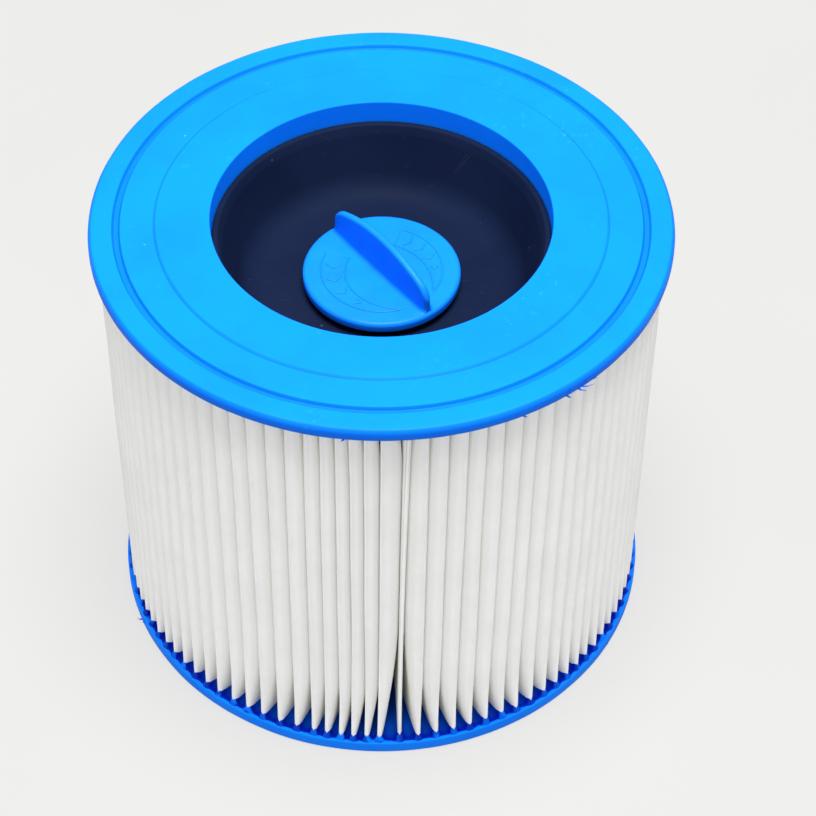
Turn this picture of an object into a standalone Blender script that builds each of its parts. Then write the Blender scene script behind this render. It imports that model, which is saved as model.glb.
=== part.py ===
"""Pleated filter cartridge with a twist-lock lid.

The cartridge is a ring of pleated filter sheet potted between two soft moulded end caps,
with a perforated core tube inside. A dished lid drops into the top hole and carries a
knob whose stem turns a locking bar below the dish.

Sizes are millimetres, turned into metres where a mesh is made. Z points up, and the origin
is the middle of the bottom face. Profiles are (radius, height) points of turned pieces.
"""

from math import acos, cos, degrees, pi, radians, sin, sqrt

import bmesh
import bpy

MM = 0.001

# Driving sizes
HEIGHT = 178.0
TOP_CAP_RADIUS = 101.5
BOTTOM_CAP_RADIUS = 100.2
HOLE_RADIUS = 59.4
PLEAT_TIP_RADIUS = 98.3
PLEAT_FOOT_RADIUS = 62.5
PLEATS = 100
KNOB_RADIUS = 28.0
KNOB_TURN = -53.0  # direction of the knob's fin at rest, in degrees from +X
SEAM_TURN = -86.0  # where the two ends of the filter sheet meet

GAP = 0.3  # between pieces that touch
ROUND = 48  # sides of the large turned pieces
SMALL_ROUND = 24  # sides of the small ones

# End caps
CAP_SIDE = 5.6  # height of the caps' outer side
POT_DEPTH = 2.9  # how far the sheet's ends sink into the caps
POT_OUTER = PLEAT_TIP_RADIUS + 0.5
COLLAR_OUTER = PLEAT_FOOT_RADIUS - 0.5
BOTTOM_BORE = 58.4
BOTTOM_COLLAR = 12.0
BEAD_RADIUS = 1.1  # of the two sealing beads in the bore
BEAD_HEIGHTS = (9.2, 4.6)
FACE_STEP = 0.8  # the rim's face lies this far below the raised face round the hole
RAISED_FACE_RADIUS = 77.8
GROOVE_RADIUS, GROOVE_HALF = 91.7, 1.3

# Filter sheet
SHEET_THICK = 0.85
SHEET_LOW = CAP_SIDE - POT_DEPTH + GAP
SHEET_HIGH = HEIGHT - SHEET_LOW
FOLD_TIP_HALF, FOLD_FOOT_HALF = 0.55, 0.5  # half widths of the outer and inner folds
CREASE_DEPTH = 5.0  # from a fold's outside to the crease inside it
STRIP_INNER, STRIP_OUTER, STRIP_HALF = 82.0, 97.6, 0.6

# Lid seat and dish
LIP_TOP = HEIGHT - 8.5
LIP_THICK = 2.2
SEAL_THICK = 1.3
LEDGE_TOP = LIP_TOP - LIP_THICK - SEAL_THICK - 2 * GAP
LEDGE_THICK = 2.4
LEDGE_RADIUS = 57.0
LID_RADIUS = HOLE_RADIUS - GAP
DISH_WALL = 2.0
DISH_TOP_RADIUS = 55.3
DISH_FLOOR = HEIGHT - 33.0
DISH_FLOOR_RADIUS = 48.6
DISH_FILLET = 3.0
DISH_UNDER = DISH_FLOOR - 2.2
STOP_INNER, STOP_OUTER, STOP_HEIGHT = 20.0, 24.0, 1.2

# Knob, stem and locking bar
KNOB_TOP = HEIGHT - 26.3
KNOB_THICK = 4.1
KNOB_UNDER = KNOB_TOP - KNOB_THICK
BOSS_TOP = DISH_FLOOR + 1.4
BOSS_RADIUS = 10.5
STEM_RADIUS = 6.0
HUB_BORE = STEM_RADIUS + GAP
HUB_RADIUS = 9.0
HUB_BOTTOM = DISH_FLOOR - 14.0
O_RING_MIDDLE = HUB_BOTTOM + 6.6
O_RING_RADIUS, O_RING_SECTION = 5.32, 0.65  # to the middle of its cord, and of the cord
GROOVE_FLOOR, O_RING_GROOVE = 4.35, 2.0  # the stem's groove: its floor's radius and its height
FIN_LENGTH = 54.0
FIN_END_HEIGHT = 8.4
FIN_MID_HEIGHT = 15.5
FIN_CREST_WIDTH = 2.6
FIN_BASE_WIDTH = 4.2
BAR_SHOULDER_TOP = HUB_BOTTOM - GAP
BAR_LUG_TOP = HUB_BOTTOM - 5.0
BAR_BOTTOM = BAR_LUG_TOP - 4.5
BAR_LENGTH = 46.0
BAR_WIDTH = 13.0
DRIVE_FLATS = 8.0  # across the two flats of the stem's end
PILOT_RADIUS, PILOT_DEPTH = 2.3, 11.0
STEM_END = BAR_BOTTOM + GAP
CORNER_RADIUS = 4.0  # of the bar's ends and of the fin's two upper corners

# Screw and its washer
WASHER_RADIUS, WASHER_THICK = 6.8, 1.0
HEAD_RADIUS, HEAD_HEIGHT, HEAD_ROUND = 4.2, 2.8, 1.3
SHANK_RADIUS, SHANK_LENGTH = 2.0, 11.0
SOCKET_RADIUS, SOCKET_DEPTH = 1.6, 1.6

# Core tube
CORE_INNER, CORE_OUTER = 60.0, 61.6
CORE_COLUMNS, CORE_ROWS = 16, 6
CORE_RIB_SHARE = 0.3  # of each column's angle
CORE_RING = 6.0  # height of the rings between windows


# ---------------------------------------------------------------- helpers


def clear_scene():
    for obj in list(bpy.data.objects):
        bpy.data.objects.remove(obj)


def material(name, colour, roughness, metallic=0.0):
    made = bpy.data.materials.new(name)
    made.use_nodes = True
    shader = made.node_tree.nodes["Principled BSDF"]
    shader.inputs["Base Color"].default_value = (*colour, 1.0)
    shader.inputs["Roughness"].default_value = roughness
    shader.inputs["Metallic"].default_value = metallic
    return made


def add_object(name, mesh_builder, finish, smooth_angle=32.0):
    """An object from a bmesh in millimetres, with its faces pointing out."""
    bmesh.ops.recalc_face_normals(mesh_builder, faces=mesh_builder.faces)
    bmesh.ops.scale(mesh_builder, vec=(MM, MM, MM), verts=mesh_builder.verts)
    mesh = bpy.data.meshes.new(name)
    mesh_builder.to_mesh(mesh)
    mesh_builder.free()
    mesh.shade_smooth()
    mesh.set_sharp_from_angle(angle=radians(smooth_angle))
    obj = bpy.data.objects.new(name, mesh)
    bpy.context.scene.collection.objects.link(obj)
    if finish is not None:
        mesh.materials.append(finish)
    return obj


def cutter(name, mesh_builder):
    """A hidden helper that a Boolean reads."""
    obj = add_object(name, mesh_builder, None)
    obj.hide_render = True
    obj.display_type = "WIRE"
    return obj


def boolean(target, other, operation):
    step = target.modifiers.new(other.name, "BOOLEAN")
    step.solver = "EXACT"
    step.operation = operation
    step.object = other


def arc(centre, radius, start, end, steps):
    """Points of a round stretch, from one angle to another, in degrees."""
    r0, z0 = centre
    angles = [radians(start + (end - start) * i / steps) for i in range(steps + 1)]
    return [(r0 + radius * cos(a), z0 + radius * sin(a)) for a in angles]


def turned(profile, sides, wave=None):
    """A closed (radius, height) profile turned about Z. A radius of 0 makes one point on the
    axis. wave(angle) lifts a whole section, as on a wave washer."""
    bm = bmesh.new()
    axis_points = {i: bm.verts.new((0, 0, z)) for i, (r, z) in enumerate(profile) if r == 0}
    sections = []
    for k in range(sides):
        angle = 2 * pi * k / sides
        lift = wave(angle) if wave else 0.0
        sections.append([
            axis_points.get(i) or bm.verts.new((r * cos(angle), r * sin(angle), z + lift))
            for i, (r, z) in enumerate(profile)
        ])
    for k in range(sides):
        here, there = sections[k], sections[(k + 1) % sides]
        for i in range(len(profile)):
            j = (i + 1) % len(profile)
            corners = []
            for vert in (here[i], there[i], there[j], here[j]):
                if vert not in corners:
                    corners.append(vert)
            if len(corners) > 2:
                bm.faces.new(corners)
    return bm


def prism(outline, low, high):
    """An (x, y) outline raised from one height to another."""
    bm = bmesh.new()
    base = bm.faces.new([bm.verts.new((x, y, low)) for x, y in outline])
    raised = bmesh.ops.extrude_face_region(bm, geom=[base])
    bmesh.ops.translate(
        bm,
        verts=[v for v in raised["geom"] if isinstance(v, bmesh.types.BMVert)],
        vec=(0, 0, high - low),
    )
    return bm


def sector(inner, outer, start, end, steps=4):
    """The outline of a ring's sector between two angles, in degrees."""
    return arc((0, 0), outer, start, end, steps) + arc((0, 0), inner, end, start, steps)


def turn_about_z(obj, angle):
    obj.rotation_euler = (0, 0, radians(angle))


# ---------------------------------------------------------------- cartridge


def top_end_cap(finish):
    """Soft moulded ring: a raised inner face, a small step, a groove and a plain rim, with a
    collar inside that ends in the ledge for the lid."""
    face, side_low = HEIGHT - FACE_STEP, HEIGHT - CAP_SIDE
    edge = 1.0
    profile = (
        arc((HOLE_RADIUS + edge, HEIGHT - edge), edge, 180, 90, 3)
        + [(RAISED_FACE_RADIUS, HEIGHT), (RAISED_FACE_RADIUS + FACE_STEP, face)]
        + arc((GROOVE_RADIUS, face), GROOVE_HALF, 180, 360, 6)
        + arc((TOP_CAP_RADIUS - edge, face - edge), edge, 90, 0, 3)
        + [(TOP_CAP_RADIUS, side_low), (POT_OUTER, side_low)]
        + [(POT_OUTER, side_low + POT_DEPTH), (COLLAR_OUTER, side_low + POT_DEPTH)]
        + [(COLLAR_OUTER, LEDGE_TOP - LEDGE_THICK), (LEDGE_RADIUS, LEDGE_TOP - LEDGE_THICK)]
        + [(LEDGE_RADIUS, LEDGE_TOP), (HOLE_RADIUS, LEDGE_TOP)]
    )
    return add_object("top_end_cap", turned(profile, ROUND), finish)


def bottom_end_cap(finish):
    """Soft moulded ring with a flat sealing face below, and two sealing beads in its bore."""
    edge, bore_chamfer = 1.0, 1.5
    upper_bead, lower_bead = BEAD_HEIGHTS
    profile = (
        [(BOTTOM_BORE + bore_chamfer, 0.0)]
        + arc((BOTTOM_CAP_RADIUS - edge, edge), edge, -90, 0, 3)
        + [(BOTTOM_CAP_RADIUS, CAP_SIDE), (POT_OUTER, CAP_SIDE)]
        + [(POT_OUTER, CAP_SIDE - POT_DEPTH), (COLLAR_OUTER, CAP_SIDE - POT_DEPTH)]
        + [(COLLAR_OUTER, BOTTOM_COLLAR), (BOTTOM_BORE, BOTTOM_COLLAR)]
        + arc((BOTTOM_BORE, upper_bead), BEAD_RADIUS, 90, 270, 3)
        + arc((BOTTOM_BORE, lower_bead), BEAD_RADIUS, 90, 270, 3)
        + [(BOTTOM_BORE, bore_chamfer)]
    )
    return add_object("bottom_end_cap", turned(profile, ROUND), finish)


def perforated_tube(inner, outer, low, high):
    """A tube with a grid of windows, each column a rib then a window."""
    window_height = (high - low - CORE_RING * (CORE_ROWS + 1)) / CORE_ROWS
    heights = [low]
    for row in range(CORE_ROWS):
        heights += [heights[-1] + CORE_RING, heights[-1] + CORE_RING + window_height]
    heights.append(high)
    column = 2 * pi / CORE_COLUMNS
    angles = []
    for k in range(CORE_COLUMNS):
        angles += [k * column, (k + CORE_RIB_SHARE) * column]

    bm = bmesh.new()
    grid = {
        (side, i, j): bm.verts.new((radius * cos(a), radius * sin(a), z))
        for side, radius in (("in", inner), ("out", outer))
        for i, a in enumerate(angles)
        for j, z in enumerate(heights)
    }

    def is_window(i, j):
        return 0 <= j < len(heights) - 1 and i % 2 == 1 and j % 2 == 1

    def is_open(i, j):
        return is_window(i, j) or not 0 <= j < len(heights) - 1

    for i in range(len(angles)):
        n = (i + 1) % len(angles)
        before = (i - 1) % len(angles)
        for j in range(len(heights) - 1):
            if is_window(i, j):
                continue
            for side in ("in", "out"):
                bm.faces.new([grid[side, *p] for p in ((i, j), (n, j), (n, j + 1), (i, j + 1))])
            borders = (
                (is_open(i, j - 1), (i, j), (n, j)),
                (is_open(i, j + 1), (n, j + 1), (i, j + 1)),
                (is_open(before, j), (i, j + 1), (i, j)),
                (is_open(n, j), (n, j), (n, j + 1)),
            )
            for opened, a, b in borders:
                if opened:
                    bm.faces.new([grid["in", *a], grid["in", *b], grid["out", *b], grid["out", *a]])
    return bm


def inner_core(finish):
    """Moulded tube that keeps the pleats from caving in, standing between the two collars."""
    tube = perforated_tube(
        CORE_INNER, CORE_OUTER, BOTTOM_COLLAR + GAP, LEDGE_TOP - LEDGE_THICK - GAP
    )
    return add_object("inner_core", tube, finish)


def polar(radius, angle, across=0.0):
    """(x, y) at a radius and an angle in degrees, moved sideways by across."""
    a = radians(angle)
    return (radius * cos(a) - across * sin(a), radius * sin(a) + across * cos(a))


def pleated_media(finish):
    """One sheet, folded to and fro all the way round. Its two ends stand side by side at the
    seam, where one outer fold would be."""
    pitch = 360.0 / PLEATS
    beside_strip = STRIP_HALF + GAP
    end_radius = PLEAT_TIP_RADIUS - 1.0
    outside = [polar(end_radius, SEAM_TURN, beside_strip + SHEET_THICK)]
    inside = [polar(end_radius, SEAM_TURN, beside_strip)]
    for k in range(PLEATS):
        foot = SEAM_TURN + (k + 0.5) * pitch
        tip = foot + pitch / 2
        outside.append(polar(PLEAT_FOOT_RADIUS + CREASE_DEPTH, foot))
        inside += [polar(PLEAT_FOOT_RADIUS, foot, side) for side in (-FOLD_FOOT_HALF, FOLD_FOOT_HALF)]
        if k < PLEATS - 1:
            outside += [polar(PLEAT_TIP_RADIUS, tip, side) for side in (-FOLD_TIP_HALF, FOLD_TIP_HALF)]
            inside.append(polar(PLEAT_TIP_RADIUS - CREASE_DEPTH, tip))
    outside.append(polar(end_radius, SEAM_TURN, -beside_strip - SHEET_THICK))
    inside.append(polar(end_radius, SEAM_TURN, -beside_strip))
    return add_object("pleated_media", prism(outside + inside[::-1], SHEET_LOW, SHEET_HIGH), finish)


def media_seam_strip(finish):
    """Bonding strip between the sheet's two ends."""
    outline = [polar(STRIP_INNER, SEAM_TURN, -STRIP_HALF), polar(STRIP_OUTER, SEAM_TURN, -STRIP_HALF)]
    outline += [polar(STRIP_OUTER, SEAM_TURN, STRIP_HALF), polar(STRIP_INNER, SEAM_TURN, STRIP_HALF)]
    return add_object("media_seam_strip", prism(outline, SHEET_LOW, SHEET_HIGH), finish)


# ---------------------------------------------------------------- lid


def lid_dish(finish):
    """Dished lid: lip, sloping wall, flat floor and a hub below that guides the stem. Two
    blocks on the floor stop the knob a quarter turn apart."""
    lip_edge, lip_round, hub_fillet, outer_fillet = 0.6, 0.5, 1.5, 4.0
    wall_lean = (DISH_TOP_RADIUS - DISH_FLOOR_RADIUS) / (LIP_TOP - lip_edge - DISH_FLOOR - DISH_FILLET)
    shift = DISH_WALL * sqrt(1 + wall_lean**2)
    under_lip = LIP_TOP - LIP_THICK
    outer_top = DISH_TOP_RADIUS - wall_lean * LIP_THICK + shift
    outer_middle = DISH_FLOOR_RADIUS - 1.6
    profile = (
        [(HUB_BORE, HUB_BOTTOM), (HUB_RADIUS, HUB_BOTTOM), (HUB_RADIUS, DISH_UNDER - hub_fillet)]
        + [(HUB_RADIUS + hub_fillet, DISH_UNDER), (outer_middle, DISH_UNDER)]
        + arc((outer_middle, DISH_UNDER + outer_fillet), outer_fillet, -60, -18, 2)
        + [(outer_top, under_lip), (LID_RADIUS, under_lip)]
        + [(LID_RADIUS, LIP_TOP - lip_round), (LID_RADIUS - lip_round, LIP_TOP)]
        + [(DISH_TOP_RADIUS + lip_edge, LIP_TOP), (DISH_TOP_RADIUS, LIP_TOP - lip_edge)]
        + arc((DISH_FLOOR_RADIUS - DISH_FILLET, DISH_FLOOR + DISH_FILLET), DISH_FILLET, -18, -90, 3)
        + [(BOSS_RADIUS, DISH_FLOOR), (BOSS_RADIUS, BOSS_TOP), (HUB_BORE, BOSS_TOP)]
    )
    dish = add_object("lid_dish", turned(profile, ROUND), finish)
    for side, start in enumerate((KNOB_TURN - 107.0, KNOB_TURN + 7.0)):
        outline = sector(STOP_INNER, STOP_OUTER, start, start + 10)
        block = prism(outline, DISH_UNDER + 1, DISH_FLOOR + STOP_HEIGHT)
        boolean(dish, cutter(f"stop_block_{side}", block), "UNION")
    return dish


def lid_seal(finish):
    """Flat rubber ring between the lid's lip and the cap's ledge."""
    low, inner = LEDGE_TOP + GAP, LEDGE_RADIUS + 0.1
    profile = [(inner, low), (LID_RADIUS, low), (LID_RADIUS, low + SEAL_THICK), (inner, low + SEAL_THICK)]
    return add_object("lid_seal", turned(profile, ROUND), finish)


def wave_washer(finish):
    """Springy washer that takes up play between the dish's boss and the knob."""
    middle = (BOSS_TOP + KNOB_UNDER) / 2
    half, rise, waves = 0.2, 0.1, 3
    inner, outer = HUB_BORE + 0.2, BOSS_RADIUS - 0.4
    profile = [(inner, middle - half), (outer, middle - half), (outer, middle + half), (inner, middle + half)]
    ring = turned(profile, SMALL_ROUND, wave=lambda angle: rise * cos(waves * angle))
    return add_object("wave_washer", ring, finish)


# ---------------------------------------------------------------- knob


def fin_solid():
    """The knob's grip: a crest that rises in one arc, with round corners, on drafted sides."""
    half = FIN_LENGTH / 2
    sagitta = FIN_MID_HEIGHT - FIN_END_HEIGHT
    crest_radius = (half**2 + sagitta**2) / (2 * sagitta)
    centre = FIN_MID_HEIGHT - crest_radius
    corner_height = FIN_END_HEIGHT - CORNER_RADIUS + 0.9
    reach = degrees(acos((half - CORNER_RADIUS) / crest_radius))
    sunk, end_draft = -1.0, 0.6
    side_view = (
        [(half - end_draft, sunk)]
        + arc((half - CORNER_RADIUS, corner_height), CORNER_RADIUS, 0, 60, 3)
        + arc((0, centre), crest_radius, reach, 180 - reach, 10)
        + arc((CORNER_RADIUS - half, corner_height), CORNER_RADIUS, 120, 180, 3)
        + [(end_draft - half, sunk)]
    )
    bm = bmesh.new()
    draft = (FIN_BASE_WIDTH - FIN_CREST_WIDTH) / 2 / FIN_MID_HEIGHT
    sides = []
    for sign in (1, -1):
        sides.append([
            bm.verts.new((x, sign * (FIN_BASE_WIDTH / 2 - draft * max(z, 0)), KNOB_TOP + z))
            for x, z in side_view
        ])
    bm.faces.new(sides[0])
    bm.faces.new(sides[1][::-1])
    for i in range(len(side_view)):
        j = (i + 1) % len(side_view)
        bm.faces.new([sides[0][i], sides[0][j], sides[1][j], sides[1][i]])
    return bm


def turn_knob(finish):
    """Round knob with a fin, a peg that meets the stops, and a stem with a groove for the
    O-ring, flats for the bar and a hole for the screw."""
    edge, under_edge, end_chamfer = 1.4, 0.4, 0.6
    groove_low, groove_top = O_RING_MIDDLE - O_RING_GROOVE / 2, O_RING_MIDDLE + O_RING_GROOVE / 2
    pilot_top = STEM_END + PILOT_DEPTH
    profile = (
        [(0.0, KNOB_TOP)]
        + arc((KNOB_RADIUS - edge, KNOB_TOP - edge), edge, 90, 0, 3)
        + [(KNOB_RADIUS, KNOB_UNDER + under_edge), (KNOB_RADIUS - under_edge, KNOB_UNDER)]
        + [(STEM_RADIUS, KNOB_UNDER), (STEM_RADIUS, groove_top)]
        + [(GROOVE_FLOOR, groove_top), (GROOVE_FLOOR, groove_low), (STEM_RADIUS, groove_low)]
        + [(STEM_RADIUS, STEM_END + end_chamfer), (STEM_RADIUS - end_chamfer, STEM_END)]
        + [(PILOT_RADIUS, STEM_END), (PILOT_RADIUS, pilot_top), (0.0, pilot_top)]
    )
    knob = add_object("turn_knob", turned(profile, ROUND), finish)
    for side in (1, -1):
        near, far = side * DRIVE_FLATS / 2, side * HUB_RADIUS
        outline = [(-HUB_RADIUS, near), (HUB_RADIUS, near), (HUB_RADIUS, far), (-HUB_RADIUS, far)]
        flat = prism(outline, STEM_END - 1, BAR_SHOULDER_TOP)
        boolean(knob, cutter(f"flat_{'left' if side > 0 else 'right'}", flat), "DIFFERENCE")
    boolean(knob, cutter("fin", fin_solid()), "UNION")
    inset, half_turn, above_floor = 0.4, 3.0, 0.5
    outline = sector(STOP_INNER + inset, STOP_OUTER - inset, -half_turn, half_turn)
    peg = prism(outline, DISH_FLOOR + above_floor, KNOB_UNDER + 1)
    boolean(knob, cutter("peg", peg), "UNION")
    for helper in ("flat_left", "flat_right", "fin", "peg"):
        turn_about_z(bpy.data.objects[helper], KNOB_TURN)
    turn_about_z(knob, KNOB_TURN)
    return knob


def stem_o_ring(finish):
    """Dust seal round the stem, inside the hub."""
    section = arc((O_RING_RADIUS, O_RING_MIDDLE), O_RING_SECTION, 0, 315, 7)
    return add_object("stem_o_ring", turned(section, SMALL_ROUND), finish, smooth_angle=80)


def locking_bar(finish):
    """Bar with a lug at each end and a raised shoulder, on the flats of the stem."""
    corner_x, corner_y = BAR_LENGTH / 2 - CORNER_RADIUS, BAR_WIDTH / 2 - CORNER_RADIUS
    outline = []
    for side_x, side_y, start in ((1, 1, 0), (-1, 1, 90), (-1, -1, 180), (1, -1, 270)):
        outline += arc((side_x * corner_x, side_y * corner_y), CORNER_RADIUS, start, start + 90, 4)
    bar = add_object("locking_bar", prism(outline, BAR_BOTTOM, BAR_LUG_TOP), finish)
    shoulder = prism(arc((0, 0), HUB_RADIUS - 0.4, 0, 350, 35), BAR_BOTTOM + 1, BAR_SHOULDER_TOP)
    boolean(bar, cutter("shoulder", shoulder), "UNION")
    reach, flat = STEM_RADIUS + GAP, DRIVE_FLATS / 2 + GAP
    corner_angle = degrees(acos(sqrt(1 - (flat / reach) ** 2)))
    hole = arc((0, 0), reach, -corner_angle, corner_angle, 8)
    hole += arc((0, 0), reach, 180 - corner_angle, 180 + corner_angle, 8)
    boolean(bar, cutter("drive_hole", prism(hole, BAR_BOTTOM - 1, BAR_SHOULDER_TOP + 1)), "DIFFERENCE")
    turn_about_z(bar, KNOB_TURN)
    for helper in ("shoulder", "drive_hole"):
        turn_about_z(bpy.data.objects[helper], KNOB_TURN)
    return bar


def bar_washer(finish):
    """Flat washer between the bar and the screw's head."""
    inner, high = SHANK_RADIUS + GAP, BAR_BOTTOM - GAP
    low = high - WASHER_THICK
    profile = [(inner, low), (WASHER_RADIUS, low), (WASHER_RADIUS, high), (inner, high)]
    return add_object("bar_washer", turned(profile, SMALL_ROUND), finish)


def bar_screw(finish):
    """Pan-head screw that holds the bar on the stem, with a hexagon socket."""
    under_head = BAR_BOTTOM - GAP - WASHER_THICK - GAP
    head_end, tip = under_head - HEAD_HEIGHT, under_head + SHANK_LENGTH
    point_height, point_radius = 1.5, 0.8
    profile = (
        [(0.0, head_end)]
        + arc((HEAD_RADIUS - HEAD_ROUND, head_end + HEAD_ROUND), HEAD_ROUND, -90, 0, 3)
        + [(HEAD_RADIUS, under_head), (SHANK_RADIUS, under_head), (SHANK_RADIUS, tip - point_height)]
        + [(point_radius, tip), (0.0, tip)]
    )
    screw = add_object("bar_screw", turned(profile, SMALL_ROUND), finish)
    socket = prism(arc((0, 0), SOCKET_RADIUS, 0, 300, 5), head_end - 1, head_end + SOCKET_DEPTH)
    boolean(screw, cutter("socket", socket), "DIFFERENCE")
    return screw


# ---------------------------------------------------------------- assembly


def assemble():
    clear_scene()
    cap_blue = material("cap_blue", (0.01, 0.40, 0.95), 0.45)
    knob_blue = material("knob_blue", (0.01, 0.38, 0.93), 0.35)
    sheet_white = material("sheet_white", (0.86, 0.86, 0.84), 0.9)
    lid_navy = material("lid_navy", (0.012, 0.017, 0.05), 0.4)
    core_black = material("core_black", (0.02, 0.02, 0.025), 0.5)
    rubber = material("seal_rubber", (0.02, 0.02, 0.02), 0.7)
    steel = material("steel", (0.62, 0.62, 0.63), 0.3, 1.0)

    top_end_cap(cap_blue)
    bottom_end_cap(cap_blue)
    inner_core(core_black)
    pleated_media(sheet_white)
    media_seam_strip(sheet_white)
    lid_dish(lid_navy)
    lid_seal(rubber)
    wave_washer(steel)
    turn_knob(knob_blue)
    stem_o_ring(rubber)
    locking_bar(lid_navy)
    bar_washer(steel)
    bar_screw(steel)


assemble()
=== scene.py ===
"""Looks for the pleated filter cartridge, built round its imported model.

Sizes are millimetres, turned into metres where a mesh is made. Profiles are (radius, height)
points of turned pieces. Angles round the axis run from +X, seen from above: in degrees for
outlines and the directions below, and in radians for the sheet's folds and for points of rings.
"""

from math import cos, exp, hypot, pi, radians, sin, sqrt, tan

import bmesh
import bpy
import numpy as np
from mathutils import Matrix, Vector, noise


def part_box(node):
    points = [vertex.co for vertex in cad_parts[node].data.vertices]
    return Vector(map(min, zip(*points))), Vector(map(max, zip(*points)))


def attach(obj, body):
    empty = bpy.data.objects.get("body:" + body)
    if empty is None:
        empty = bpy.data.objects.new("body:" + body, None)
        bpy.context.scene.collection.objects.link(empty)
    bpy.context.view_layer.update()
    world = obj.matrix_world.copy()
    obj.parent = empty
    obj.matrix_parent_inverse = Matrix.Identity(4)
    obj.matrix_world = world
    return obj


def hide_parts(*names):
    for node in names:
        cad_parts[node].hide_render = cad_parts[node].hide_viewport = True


MM = 0.001

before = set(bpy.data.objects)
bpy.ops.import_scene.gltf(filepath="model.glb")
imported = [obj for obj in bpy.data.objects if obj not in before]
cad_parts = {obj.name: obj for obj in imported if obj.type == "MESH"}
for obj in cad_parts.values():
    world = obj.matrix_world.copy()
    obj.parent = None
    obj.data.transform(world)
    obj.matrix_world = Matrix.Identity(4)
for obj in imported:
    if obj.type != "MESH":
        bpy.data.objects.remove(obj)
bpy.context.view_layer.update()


def reach(node):
    """A turned node's radius, lowest and highest point."""
    low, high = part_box(node)
    return high.x / MM, low.z / MM, high.z / MM


TOP_RADIUS, _, HEIGHT = reach("top_end_cap")
BOTTOM_RADIUS, _, BOTTOM_COLLAR = reach("bottom_end_cap")
TIP_RADIUS, SHEET_LOW, SHEET_HIGH = reach("pleated_media")
LID_RADIUS, HUB_BOTTOM, LIP_TOP = reach("lid_dish")
CORE_RADIUS, CORE_LOW, CORE_HIGH = reach("inner_core")
_, SEAL_LOW, SEAL_HIGH = reach("lid_seal")
_, BAR_BOTTOM, BAR_TOP = reach("locking_bar")
_, SCREW_LOW, SCREW_HIGH = reach("bar_screw")
_, STEM_END, FIN_TOP = reach("turn_knob")

KNOB_TURN = -53.0  # direction of the knob's fin
SEAM_TURN = -86.0  # where the filter sheet's two ends meet
HOLE_RADIUS = LID_RADIUS + 0.3
CAP_SIDE = 5.6  # height of the top cap's outer side
POT_LEVEL = 5.0  # of the cast cap between the pleats, above the cap's outer face
POT_BORE = 62.0  # inner radius of the cast cap between the pleats
FLANGE_ROOT = 98.9  # radius of the top cap below its flange
PLEATS = 100
FOOT_RADIUS = 62.8  # of the sheet's inner folds
SHEET_THICK = 0.75
KNOB_RADIUS = 28.0
FIN_HEIGHT, FIN_HALF = 15.5, 27.0
KNOB_TOP = FIN_TOP - FIN_HEIGHT
KNOB_UNDER = KNOB_TOP - 4.1
STEM_RADIUS = 6.0
DISH_FLOOR = HEIGHT - 33.0
AXIS = 0.01  # radius at which the profile of a solid turned piece starts


# ---------------------------------------------------------------- mesh helpers


def make_object(name, verts, faces, finish, body, sharp=35.0):
    """A smooth-shaded object on a body, from points in millimetres."""
    mesh = bpy.data.meshes.new(name)
    mesh.from_pydata((np.asarray(verts, float) * MM).tolist(), [], faces)
    bm = bmesh.new()
    bm.from_mesh(mesh)
    bmesh.ops.recalc_face_normals(bm, faces=bm.faces)
    bm.to_mesh(mesh)
    bm.free()
    mesh.shade_smooth()
    if sharp:
        mesh.set_sharp_from_angle(angle=radians(sharp))
    mesh.materials.append(finish)
    return place_piece(bpy.data.objects.new(name, mesh), body)


def shade_points(obj, name, values):
    """Stores one number per point, which the piece's material reads."""
    obj.data.attributes.new(name, "FLOAT", "POINT").data.foreach_set("value", values)
    return obj


def place_piece(obj, body):
    """Puts a piece in the scene, on its body."""
    bpy.context.scene.collection.objects.link(obj)
    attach(obj, body)
    return obj


def arc(centre, radius, start, end, steps):
    """Points of a round stretch, from one angle to another."""
    angles = [radians(start + (end - start) * i / steps) for i in range(steps + 1)]
    return [(centre[0] + radius * cos(a), centre[1] + radius * sin(a)) for a in angles]


def filleted(corners):
    """A closed outline of (r, z, fillet) corners as points, each corner rounded."""
    points, steps = [], 5
    for i, (r, z, fillet) in enumerate(corners):
        here = Vector((r, z))
        before = Vector(corners[i - 1][:2]) - here
        after = Vector(corners[(i + 1) % len(corners)][:2]) - here
        opening = before.angle(after)
        if fillet <= 0 or opening > pi - 0.02:
            points.append((r, z))
            continue
        reach_back = fillet / tan(opening / 2)
        back, on = before.normalized(), after.normalized()
        start, end = here + back * reach_back, here + on * reach_back
        centre = here + (back + on).normalized() * fillet / sin(opening / 2)
        first, last = start - centre, end - centre
        turn = first.angle_signed(last)
        for k in range(steps + 1):
            spoke = first.copy()
            spoke.rotate(Matrix.Rotation(-turn * k / steps, 2))
            points.append(tuple(centre + spoke))
    return points


def lathe(name, profile, sides, finish, body, wobble=None):
    """A closed profile turned about Z. wobble(angle, r, z) moves a point to a new (r, z)."""
    verts, faces, count = [], [], len(profile)
    for k in range(sides):
        angle = 2 * pi * k / sides
        for r, z in profile:
            if wobble:
                r, z = wobble(angle, r, z)
            verts.append((r * cos(angle), r * sin(angle), z))
    for k in range(sides):
        here, there = k * count, (k + 1) % sides * count
        for i in range(count):
            j = (i + 1) % count
            faces.append((here + i, there + i, there + j, here + j))
    return make_object(name, verts, faces, finish, body)


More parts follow.
